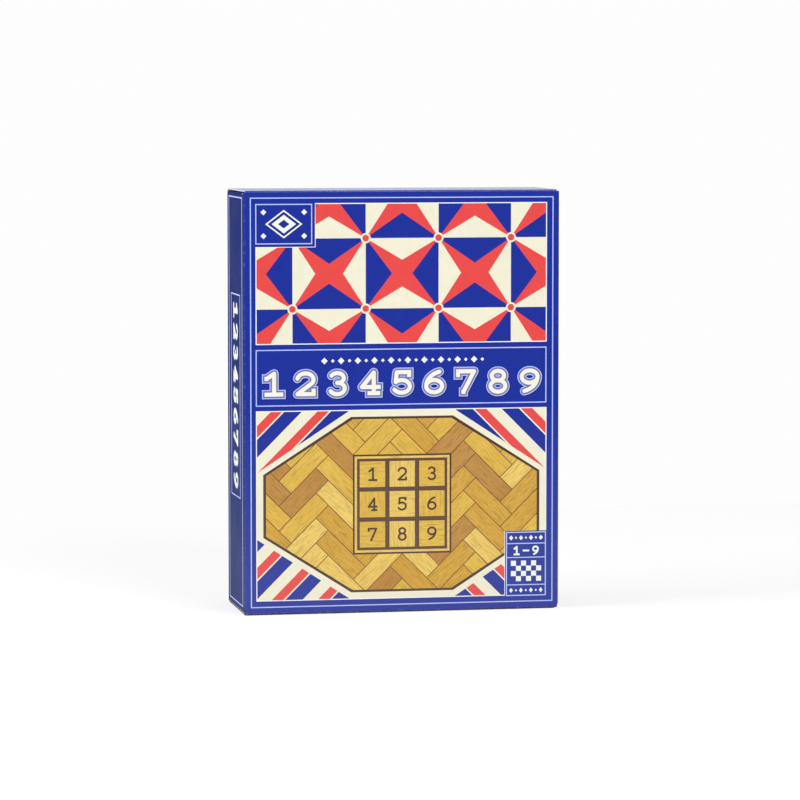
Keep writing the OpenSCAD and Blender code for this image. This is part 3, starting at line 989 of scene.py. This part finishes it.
def quarter(along, depth):
    """A fold of a quarter turn: how far in from the corner and how far up from its start."""
    turn = min(along / BOARD_T, math.pi / 2)
    flat = max(0.0, along - QUARTER)
    r = BOARD_T - depth
    return BOARD_T - r * math.cos(turn) + flat, r * math.sin(turn)


def closure_place(top):
    def place(x, y, depth):
        back, up = quarter(CLOSURE_LEN - y, depth)
        return (x - CLOSURE_W / 2, HALF_D - back, end_z(CARTON_H - BOARD_T + up, top))
    return place


def tuck_place(top):
    """y runs from where the fold starts on the closure, round it and down the tuck."""
    def place(x, y, depth):
        turn = min(y / BOARD_T, math.radians(90) + LEAN)
        down = max(0.0, y - TUCK_ARC)
        r = BOARD_T - depth
        py = TUCK_CENTRE_Y - r * math.sin(turn) + down * math.sin(LEAN)
        pz = CARTON_H - BOARD_T + r * math.cos(turn) - down * math.cos(LEAN)
        return (x, py, end_z(pz, top))
    return place


def dust_place(top, side):
    def place(x, y, depth):
        back, up = quarter(x, depth)
        return (side * (HALF_W - back), HALF_D - y, end_z(CARTON_H - SIDE_END + up, top))
    return place


def tuck_outline():
    """Shoulders beside the fold, and round corners at the far end."""
    half = (CLOSURE_W - 2 * TUCK_INSET) / 2
    wide = CLOSURE_W / 2 - TUCK_SHOULDER
    fold = TUCK_ARC * 0.6
    cx, cy = half - TUCK_CORNER_R, TUCK_ARC + TUCK_LEN - BOARD_T - TUCK_CORNER_R
    return [(-half, fold + TUCK_INSET), (-wide, fold), (-wide, 0.0),
            (wide, 0.0), (wide, fold), (half, fold + TUCK_INSET),
            *arc(cx, cy, TUCK_CORNER_R, 0, 90, 8), *arc(-cx, cy, TUCK_CORNER_R, 90, 180, 8)]


def dust_outline():
    """x out from the fold, y from the back panel to the tuck, which the flap lies behind."""
    far = CARTON_D - 2 * BOARD_T - TUCK_GAP - TUCK_LEN * math.sin(LEAN) - DUST_TUCK_GAP
    end = DUST_LEN - BOARD_T + QUARTER
    return [(0, DUST_NEAR), (0, far), (end - DUST_CORNER, far), (end, far - DUST_CORNER),
            (end, DUST_NEAR + DUST_TAPER * DUST_LEN)]


# Paled fold of a closure or tuck: wear, and a painted highlight
def closure_wear_and_highlight(x, y):
    return LID_WEAR_AND_HIGHLIGHT if 0.1 < CLOSURE_LEN - y < QUARTER else 0.0


def tuck_wear_and_highlight(x, y):
    return LID_WEAR_AND_HIGHLIGHT if 0.1 < y < TUCK_ARC else 0.0


def dust_wear(x, y):
    return DUST_WEAR if DUST_WORN[0] < x < DUST_WORN[1] else 0.0


bends = [QUARTER * i / FOLD_STEPS for i in range(1, FOLD_STEPS + 1)]
tuck_bends = [TUCK_ARC * i / FOLD_STEPS for i in range(1, FOLD_STEPS + 1)]

# The bottom end's cut edges are painted dark as painted shade; the top's are bare
for end, raw_edge in (("top", "cut_edge"), ("bottom", "painted_shade_edge")):
    is_top = end == "top"
    closure, tuck = f"{end}_closure", f"{end}_tuck"
    panel(closure, box_pts(0, 0, CLOSURE_W, CLOSURE_LEN), lid_print(CLOSURE_W, CLOSURE_LEN),
          closure_place(is_top), closure, rows=[CLOSURE_LEN - b for b in bends],
          wear_and_highlight=closure_wear_and_highlight, edge=raw_edge)
    panel(tuck, tuck_outline(), Sheet("lid_blue"), tuck_place(is_top), tuck, rows=tuck_bends,
          wear_and_highlight=tuck_wear_and_highlight)
    for side_name, side in (("left", -1), ("right", 1)):
        flap = f"{end}_dust_flap_{side_name}"
        flap_print = Sheet("white")
        flap_print.clipped(box_pts(0, 0, DUST_PRINT_W, CARTON_D), [dust_outline()], "side_blue")
        panel(flap, dust_outline(), flap_print, dust_place(is_top, side), flap, columns=bends,
              wear_and_highlight=dust_wear, edge=raw_edge)

# ---- the wooden game: the CAD nodes, with their materials, ink and pips ----

TILE_T, TILE_REACH, TILE_LEAN = 6.5, 27.01, 43.25
INK_LIFT = 0.05
NUMBER_FROM_END, NUMBER_H, NUMBER_WEIGHT = 6.5, 7.2, 0.15
DIE_SIZE, PIP_R, PIP_DEPTH, PIP_PITCH = 16.0, 1.3, 0.5, 4.0
PIP_BALL = (PIP_R ** 2 + PIP_DEPTH ** 2) / (2 * PIP_DEPTH)
PIP_RINGS, PIP_SIDES = 4, 20
PAINT_R, PAINT_LIFT = 0.94, 0.03   # the paint's share of the dimple, and how far it stands off it
CORNERS = [(-1, -1), (1, 1), (-1, 1), (1, -1)]
# The places of the pips on each face, 1 to 6, and the turns about X, Y and Z to that face
DIE_FACES = [
    ([(0, 0)], (0, 0, 0)),
    (CORNERS[:2], (90, 0, 0)),
    ([(0, 0)] + CORNERS[:2], (0, 90, 0)),
    (CORNERS, (0, -90, 0)),
    ([(0, 0)] + CORNERS, (-90, 0, 0)),
    (CORNERS + [(-1, 0), (1, 0)], (180, 0, 0)),
]


def dress(name, mat, bevel=0.0):
    """Give a CAD node its material, and ease its edges by bevel mm."""
    obj = NODES[name]
    if not obj.data.materials:
        obj.data.materials.append(mat)
    for i in range(len(obj.data.materials)):
        obj.data.materials[i] = mat
    if bevel:
        ease = obj.modifiers.new("ease", "BEVEL")
        ease.width = bevel * MM
        ease.segments = 3
        ease.limit_method = "ANGLE"
        ease.angle_limit = math.radians(40)


def mark(name, parts, place, body, mat):
    """A thin printed mark of convex parts in mm on a face, raised by its ink's thickness."""
    points, covered = cover([ccw(part) for part in parts])
    flat, tris = kept(points, [tri for tri, _ in covered])
    outer, inner = ([place(x, y, lift) for x, y in flat] for lift in (INK_LIFT, 0.0))
    front, _, rim = slab(tris, outer, inner)
    mesh = mesh_in_mm(name, outer + inner, [*front, *rim])
    mesh.materials.append(mat)
    obj = add_object(name, mesh)
    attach(obj, body)


def tile_face(pivot):
    """x across the tile, y down its length from the rod, on the face that looks out of the tray."""
    a = math.radians(TILE_LEAN)
    down = Vector((0, -math.sin(a), -math.cos(a)))
    out = Vector((0, -math.cos(a), math.sin(a)))

    def place(x, y, lift):
        return tuple(Vector(pivot) + Vector((x, 0, 0)) + down * y + out * (TILE_T / 2 + lift))
    return place


def euler(x, y, z):
    return (Matrix.Rotation(math.radians(z), 3, "Z") @ Matrix.Rotation(math.radians(y), 3, "Y")
            @ Matrix.Rotation(math.radians(x), 3, "X"))


def pip(ball, place):
    """Points and faces of the paint in one dimple, a bowl of the sphere about ball."""
    points = []
    for k in range(PIP_RINGS + 1):
        r = PIP_R * PAINT_R * k / PIP_RINGS
        z = -math.sqrt(PIP_BALL ** 2 - r * r) + PAINT_LIFT
        for i in range(PIP_SIDES if k else 1):
            a = 2 * math.pi * i / PIP_SIDES
            points.append(place(ball + Vector((r * math.cos(a), r * math.sin(a), z))))
    around = [(i, (i + 1) % PIP_SIDES) for i in range(PIP_SIDES)]
    faces = [(0, 1 + i, 1 + j) for i, j in around]
    for a0 in range(1, 1 + (PIP_RINGS - 1) * PIP_SIDES, PIP_SIDES):
        b0 = a0 + PIP_SIDES
        faces += [(a0 + i, b0 + i, b0 + j, a0 + j) for i, j in around]
    return points, faces


def pips(die, yaw, mat):
    """The paint in the dimples of a die that is turned by yaw on its rail."""
    lo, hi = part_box(die)
    centre = Vector(in_mm((a + b) / 2 for a, b in zip(lo, hi)))
    points, faces = [], []
    for spots, turns in DIE_FACES:
        turn = euler(90, 0, 0) @ euler(0, yaw, 0) @ euler(*turns)
        for x, y in spots:
            ball = Vector((x * PIP_PITCH, y * PIP_PITCH, DIE_SIZE / 2 + PIP_BALL - PIP_DEPTH))
            new_points, new_faces = pip(ball, lambda p: centre + turn @ p)
            faces += [tuple(len(points) + i for i in face) for face in new_faces]
            points += new_points
    mesh = mesh_in_mm(f"{die}_pips", points, faces)
    for face in mesh.polygons:
        face.use_smooth = True
    mesh.materials.append(mat)
    obj = add_object(f"{die}_pips", mesh)
    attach(obj, die)


upright, across = wood("pine_upright", RAIL, "Z"), wood("pine_across", RAIL, "X")
tile_wood = wood("tile_wood", TILE, "Z", streak=0.6, lean=TILE_LEAN)
die_wood = wood("die_wood", DIE, "Z", streak=0.35)
rod_steel = steel()
black = stamped_black()

dress("tray_floor", wood("plywood", PLY, "Z", streak=0.8))
for name in ("tray_rail_left", "tray_rail_right"):
    dress(name, upright, 0.5)
for name in ("tray_rail_top", "tray_rail_bottom"):
    dress(name, across, 0.5)
for name in ("centre_rail", "upper_rest_rail", "lower_rest_rail"):
    dress(name, across)
for bank in ("upper", "lower"):
    dress(f"{bank}_rod", rod_steel, 0.3)
    for n in range(1, 10):
        tile = f"{bank}_tile_{n}"
        dress(tile, tile_wood, 0.35)
        parts = numeral(n, 0.0, TILE_REACH - NUMBER_FROM_END, NUMBER_H, NUMBER_WEIGHT)
        mark(f"{tile}_number", parts, tile_face(PIVOTS[f"{tile}_pivot"]), tile, black)
for die, yaw in (("die_left", 0), ("die_right", 180)):
    dress(die, die_wood)
    pips(die, yaw, black)
dress("leaflet", leaflet_paper())

# ---- stage, lights and camera, in m ----

BACKGROUND = 0.985
ROOM = 0.45                        # light from the world all round
FLOOR_GLOW, FLOOR_SEEN_FLAT = 1.16, 0.62
PALE, DIM = 0.93, 0.3              # how light the papers are to the light on them
STAGE_X, STAGE_Y0, STAGE_SPLIT, STAGE_Y1 = 1.6, -0.8, 0.45, 0.9
CARD_X, CARD_Y, CARD_Z0, CARD_Z1 = 1.2, 1.5, 0.2, 1.9


def stage_paper(name, glow, flat_part, tone, *more_rays):
    """White paper ground: the camera, and the kinds of rays that are named besides, see it
    white, with a part of its own shading kept."""
    paper = bpy.data.materials.new(name)
    graph = Graph(paper)
    diffuse = graph.node("BsdfDiffuse", {"Color": (tone, tone, tone, 1)})
    white = graph.node("Emission", {"Color": (1, 1, 1, 1), "Strength": glow})
    part = graph.math("MULTIPLY", graph.seen_by("Is Camera Ray", *more_rays), flat_part)
    mixed = graph.node("MixShader", {0: part, 1: diffuse.outputs[0], 2: white.outputs[0]})
    graph.node("OutputMaterial", {"Surface": mixed.outputs[0]})
    return paper


def stage_plane(name, corners, paper):
    mesh = bpy.data.meshes.new(name)
    mesh.from_pydata(corners, [], [(0, 1, 2, 3)])
    mesh.materials.append(paper)
    add_object(name, mesh)


def floor_corners(y0, y1):
    return [(x, y, 0) for x, y in box_pts(-STAGE_X, y0, STAGE_X, y1)]


def card_corners(x0, x1):
    return [(x, CARD_Y, z) for x, z in box_pts(x0, CARD_Z0, x1, CARD_Z1)]


def area_lamp(name, at, aim, size, power):
    data = bpy.data.lights.new(name, "AREA")
    data.shape = "RECTANGLE"
    data.size, data.size_y = size
    data.energy = power
    lamp = add_object(name, data)
    lamp.location = at
    lamp.rotation_euler = (Vector(aim) - Vector(at)).to_track_quat("-Z", "Y").to_euler()


stage_plane("floor", floor_corners(STAGE_Y0, STAGE_SPLIT),
            stage_paper("floor_paper", FLOOR_GLOW, FLOOR_SEEN_FLAT, PALE))
stage_plane("back_floor", floor_corners(STAGE_SPLIT, STAGE_Y1),
            stage_paper("back_floor_paper", BACKGROUND, 1.0, DIM))
stage_plane("back_card", card_corners(0.0, CARD_X),
            stage_paper("card_paper", BACKGROUND, 1.0, PALE, "Is Glossy Ray"))
stage_plane("side_card", card_corners(-CARD_X, 0.0),
            stage_paper("side_card_paper", BACKGROUND, 1.0, DIM))

scene = bpy.context.scene
scene.view_settings.view_transform = "Standard"
world = bpy.data.worlds.new("studio")
scene.world = world
studio = Graph(world)
seen = studio.seen_by("Is Camera Ray", "Is Transmission Ray", "Is Glossy Ray")
room = studio.node("Background", {"Color": (1, 1, 1, 1), "Strength": ROOM})
white = studio.node("Background", {"Color": (1, 1, 1, 1), "Strength": BACKGROUND})
mixed = studio.node("MixShader", {0: seen, 1: room.outputs[0], 2: white.outputs[0]})
studio.node("OutputWorld", {"Surface": mixed.outputs[0]})

area_lamp("key", at=(0.55, -1.5, 1.15), aim=(0.0, 0.0, 0.11), size=(0.9, 0.7), power=13.8)
area_lamp("fill", at=(-1.7, -0.35, 0.8), aim=(0.0, 0.0, 0.1), size=(0.9, 0.9), power=20.5)

YAW, PITCH = math.radians(10.85), math.radians(4.46)
CAM_DISTANCE = 2.0078
CAM_TARGET = Vector((0.00406, 0.0, 0.1062))
SENSOR_MM, LENS_MM = 36.0, 175.15
look = Vector((math.sin(YAW) * math.cos(PITCH), math.cos(YAW) * math.cos(PITCH),
               -math.sin(PITCH)))
cam_data = bpy.data.cameras.new("photo_camera")
cam_data.sensor_width, cam_data.lens = SENSOR_MM, LENS_MM
cam_data.clip_start, cam_data.clip_end = 0.05, 30.0
camera = add_object("photo_camera", cam_data)
camera.location = CAM_TARGET - look * CAM_DISTANCE
camera.rotation_euler = look.to_track_quat("-Z", "Y").to_euler()
scene.camera = camera
